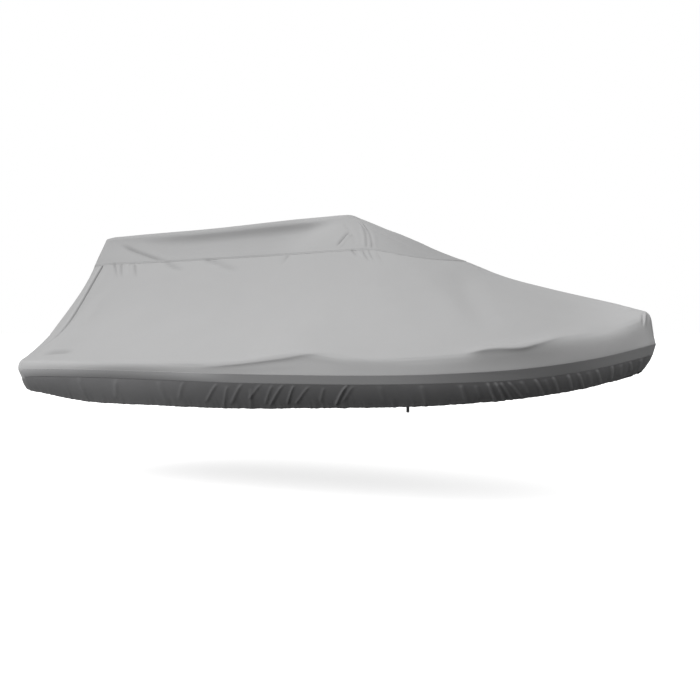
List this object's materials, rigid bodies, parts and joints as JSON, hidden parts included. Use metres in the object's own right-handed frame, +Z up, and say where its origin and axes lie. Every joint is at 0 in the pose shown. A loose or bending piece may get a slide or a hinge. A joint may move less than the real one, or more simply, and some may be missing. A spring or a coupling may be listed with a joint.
{
  "type": "fitted boat cover",
  "caption": "Fitted trailerable cloth cover for an open boat with fat side tubes: ridged tent top, long foredeck, dark band and gathered skirt, open below.",
  "frame": {"origin": "underside of the roof cap at the middle of the ridge, on the centreline", "axes": "+X towards the bow, +Y to port, +Z up"},
  "size_m": [5.737, 2.4612, 1.6633],
  "materials": {
    "cover_cloth": "matt coated polyester plain weave, light grey",
    "band_cloth": "matt coated polyester plain weave, mid grey",
    "skirt_cloth": "matt coated polyester plain weave, dark grey",
    "webbing": "woven polyester webbing, black"
  },
  "bodies": {
    "root": {"roof_panel": "cover_cloth", "side_panel_starboard": "cover_cloth", "side_panel_port": "cover_cloth", "stern_panel": "cover_cloth", "band_starboard": "band_cloth", "band_port": "band_cloth", "skirt_starboard": "skirt_cloth", "skirt_port": "skirt_cloth", "strap_starboard": "webbing", "strap_port": "webbing"}
  },
  "joints": []
}
